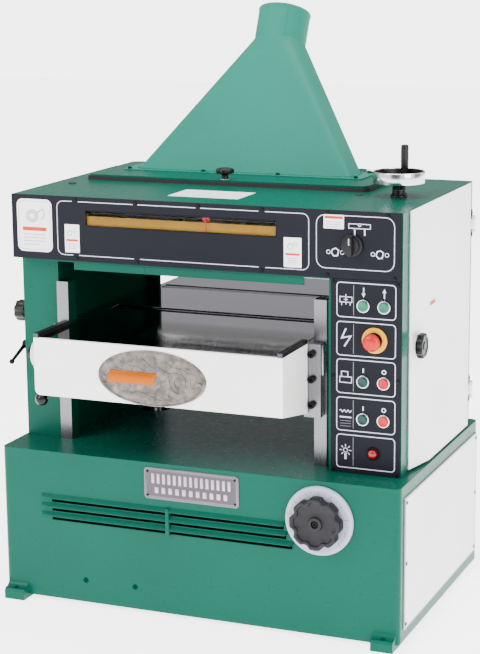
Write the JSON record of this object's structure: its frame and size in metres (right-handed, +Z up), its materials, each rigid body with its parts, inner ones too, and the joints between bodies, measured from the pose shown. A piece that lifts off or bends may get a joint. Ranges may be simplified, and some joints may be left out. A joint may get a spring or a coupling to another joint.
{
  "type": "thickness planer",
  "caption": "Floor-standing wood thickness planer: box base, two columns, wide head with cutterhead and feed rollers, rising table, chip hood and push-button panel.",
  "frame": {"origin": "centre of the base's footprint on the floor, which is also the centre of the four floor bolt holes", "axes": "+X to the operator's right, +Y with the feed, from the infeed side at the front to the back, +Z up"},
  "size_m": [1.0238, 0.9184, 1.3869],
  "materials": {
    "green_paint": "hammered semi-gloss enamel",
    "dark_paint": "semi-gloss enamel",
    "white_paint": "textured semi-gloss enamel",
    "charcoal_paint": "matt printed panel",
    "scale_paint": "printed scale strip",
    "screw_black": "black oxide",
    "machined_iron": "ground and polished",
    "raw_iron": "as cast",
    "steel": "turned",
    "chrome_steel": "polished chrome",
    "bronze": "machined",
    "badge_alloy": "cast and brushed",
    "grey_plastic": "moulded",
    "black_plastic": "moulded",
    "white_plastic": "moulded",
    "green_plastic": "moulded",
    "red_plastic": "moulded",
    "lamp_lens": "translucent lens",
    "clear": "clear window",
    "seal_rubber": "foam rubber"
  },
  "bodies": {
    "frame": {"base_frame": "green_paint", "base_side_panel": "white_paint", "panel_screws": "screw_black", "left_column": "green_paint", "right_column": "green_paint", "guide_rails": "machined_iron", "head_shell": "green_paint", "head_plates": "dark_paint", "fascia": "charcoal_paint", "window_lens": "clear", "depth_scale": "scale_paint", "control_panel": "charcoal_paint", "button_bezels": "chrome_steel", "power_lamp": "lamp_lens", "pressure_bar": "steel", "chip_breaker": "raw_iron", "bearings": "raw_iron", "drive_belts": "seal_rubber", "main_motor": "raw_iron", "feed_gearmotor": "raw_iron", "feed_chain": "steel", "dial_ring": "grey_plastic", "cover_seal": "seal_rubber", "hinge_pins": "steel"},
    "table": {"table_casting": "machined_iron", "table_apron": "machined_iron", "slide_blocks": "machined_iron", "gib_set": "bronze", "table_badge": "badge_alloy", "lever_disc": "white_plastic"},
    "cover": {"top_cover": "green_paint", "chip_hood": "green_paint"},
    "bed_roller_front": {"bed_roller_front": "steel"},
    "bed_roller_rear": {"bed_roller_rear": "steel"},
    "bed_roller_lever": {"bed_roller_lever": "black_plastic"},
    "table_lock_lever": {"table_lock_lever": "screw_black"},
    "elevation_screw_left": {"elevation_screw_left": "steel"},
    "elevation_screw_right": {"elevation_screw_right": "steel"},
    "elevation_wheel": {"elevation_wheel": "chrome_steel"},
    "wheel_grip": {"wheel_grip": "black_plastic"},
    "scale_pointer": {"scale_pointer": "red_plastic"},
    "cutterhead": {"cutterhead": "steel"},
    "motor_pulley": {"motor_pulley": "raw_iron"},
    "infeed_roller": {"infeed_roller": "steel"},
    "outfeed_roller": {"outfeed_roller": "steel"},
    "kickback_fingers": {"kickback_fingers": "raw_iron"},
    "cover_knob": {"cover_knob": "black_plastic"},
    "right_door": {"right_door": "white_paint"},
    "right_latch": {"right_latch": "black_plastic"},
    "left_door": {"left_door": "green_paint"},
    "left_latch": {"left_latch": "black_plastic"},
    "selector_knob": {"selector_knob": "black_plastic"},
    "speed_knob": {"speed_knob": "black_plastic"},
    "button_up": {"button_up": "green_plastic"},
    "button_down": {"button_down": "green_plastic"},
    "button_drive_on": {"button_drive_on": "green_plastic"},
    "button_drive_off": {"button_drive_off": "red_plastic"},
    "button_feed_on": {"button_feed_on": "green_plastic"},
    "button_feed_off": {"button_feed_off": "red_plastic"},
    "stop_button": {"stop_button": "red_plastic"}
  },
  "joints": [
    {"name": "table_lift", "type": "slide", "parent": "frame", "child": "table", "axis": [0, 0, 1], "range_m": [-0.074, 0.12]},
    {"name": "screw_left_turn", "type": "hinge", "parent": "frame", "child": "elevation_screw_left", "pos_m": [-0.306, 0.145, 0.3], "axis": [0, 0, 1], "continuous": true},
    {"name": "screw_right_turn", "type": "hinge", "parent": "frame", "child": "elevation_screw_right", "pos_m": [0.194, 0.145, 0.3], "axis": [0, 0, 1], "continuous": true},
    {"name": "wheel_turn", "type": "hinge", "parent": "frame", "child": "elevation_wheel", "pos_m": [0.383, 0.01, 1], "axis": [0, 0, 1], "continuous": true},
    {"name": "grip_spin", "type": "hinge", "parent": "elevation_wheel", "child": "wheel_grip", "pos_m": [0.383, 0.052, 1.04], "axis": [0, 0, 1], "continuous": true},
    {"name": "pointer_slide", "type": "slide", "parent": "frame", "child": "scale_pointer", "axis": [-1, 0, 0], "range_m": [-0.163, 0.2641]},
    {"name": "bed_front_spin", "type": "hinge", "parent": "table", "child": "bed_roller_front", "pos_m": [-0.056, 0.004, 0.6413], "axis": [1, 0, 0], "continuous": true},
    {"name": "bed_rear_spin", "type": "hinge", "parent": "table", "child": "bed_roller_rear", "pos_m": [-0.056, 0.286, 0.6413], "axis": [1, 0, 0], "continuous": true},
    {"name": "bed_lever_turn", "type": "hinge", "parent": "table", "child": "bed_roller_lever", "pos_m": [-0.384, -0.35, 0.618], "axis": [1, 0, 0], "range_deg": [-30, 25]},
    {"name": "table_lock_turn", "type": "hinge", "parent": "frame", "child": "table_lock_lever", "pos_m": [-0.5, -0.172, 0.59], "axis": [1, 0, 0], "range_deg": [-60, 60]},
    {"name": "cutter_spin", "type": "hinge", "parent": "frame", "child": "cutterhead", "pos_m": [0, 0.145, 0.84], "axis": [-1, 0, 0], "continuous": true},
    {"name": "motor_spin", "type": "hinge", "parent": "frame", "child": "motor_pulley", "pos_m": [0.3, -0.06, 0.17], "axis": [-1, 0, 0], "continuous": true},
    {"name": "infeed_spin", "type": "hinge", "parent": "frame", "child": "infeed_roller", "pos_m": [0, 0.025, 0.825], "axis": [1, 0, 0], "continuous": true},
    {"name": "outfeed_spin", "type": "hinge", "parent": "frame", "child": "outfeed_roller", "pos_m": [0, 0.265, 0.825], "axis": [1, 0, 0], "continuous": true},
    {"name": "finger_swing", "type": "hinge", "parent": "frame", "child": "kickback_fingers", "pos_m": [0, -0.085, 0.85], "axis": [1, 0, 0], "range_deg": [0, 45]},
    {"name": "cover_open", "type": "hinge", "parent": "frame", "child": "cover", "pos_m": [-0.072, 0.327, 0.978], "axis": [-1, 0, 0], "range_deg": [0, 60]},
    {"name": "cover_knob_turn", "type": "hinge", "parent": "cover", "child": "cover_knob", "pos_m": [-0.072, 0.064, 1], "axis": [0, 0, 1], "continuous": true},
    {"name": "right_door_open", "type": "hinge", "parent": "frame", "child": "right_door", "pos_m": [0.477, 0.308, 0.66], "axis": [0, 0, 1], "range_deg": [0, 110]},
    {"name": "right_latch_turn", "type": "hinge", "parent": "right_door", "child": "right_latch", "pos_m": [0.484, -0.158, 0.66], "axis": [1, 0, 0], "range_deg": [0, 90]},
    {"name": "left_door_open", "type": "hinge", "parent": "frame", "child": "left_door", "pos_m": [-0.498, 0.309, 0.712], "axis": [0, 0, -1], "range_deg": [0, 110]},
    {"name": "left_latch_turn", "type": "hinge", "parent": "left_door", "child": "left_latch", "pos_m": [-0.5, -0.165, 0.672], "axis": [-1, 0, 0], "range_deg": [0, 90]},
    {"name": "selector_turn", "type": "hinge", "parent": "frame", "child": "selector_knob", "pos_m": [0.356, -0.24, 0.89], "axis": [0, -1, 0], "range_deg": [-60, 60]},
    {"name": "speed_turn", "type": "hinge", "parent": "frame", "child": "speed_knob", "pos_m": [0.309, -0.33, 0.281], "axis": [0, -1, 0], "range_deg": [-135, 135]},
    {"name": "button_up_press", "type": "slide", "parent": "frame", "child": "button_up", "axis": [0, 1, 0], "range_m": [0, 0.005], "stiffness_N_per_m": 300},
    {"name": "button_down_press", "type": "slide", "parent": "frame", "child": "button_down", "axis": [0, 1, 0], "range_m": [0, 0.005], "stiffness_N_per_m": 300},
    {"name": "button_drive_on_press", "type": "slide", "parent": "frame", "child": "button_drive_on", "axis": [0, 1, 0], "range_m": [0, 0.005], "stiffness_N_per_m": 300},
    {"name": "button_drive_off_press", "type": "slide", "parent": "frame", "child": "button_drive_off", "axis": [0, 1, 0], "range_m": [0, 0.005], "stiffness_N_per_m": 300},
    {"name": "button_feed_on_press", "type": "slide", "parent": "frame", "child": "button_feed_on", "axis": [0, 1, 0], "range_m": [0, 0.005], "stiffness_N_per_m": 300},
    {"name": "button_feed_off_press", "type": "slide", "parent": "frame", "child": "button_feed_off", "axis": [0, 1, 0], "range_m": [0, 0.005], "stiffness_N_per_m": 300},
    {"name": "stop_press", "type": "slide", "parent": "frame", "child": "stop_button", "axis": [0, 1, 0], "range_m": [0, 0.006], "stiffness_N_per_m": 600}
  ],
  "couplings": [
    {"joint": "screw_left_turn", "follows": "table_lift", "rad_per_m": 1256.6},
    {"joint": "screw_right_turn", "follows": "table_lift", "rad_per_m": 1256.6},
    {"joint": "wheel_turn", "follows": "table_lift", "rad_per_m": 1256.6},
    {"joint": "pointer_slide", "follows": "table_lift", "ratio": 2.2},
    {"joint": "motor_spin", "follows": "cutter_spin", "ratio": 0.83871},
    {"joint": "outfeed_spin", "follows": "infeed_spin", "ratio": 1}
  ]
}
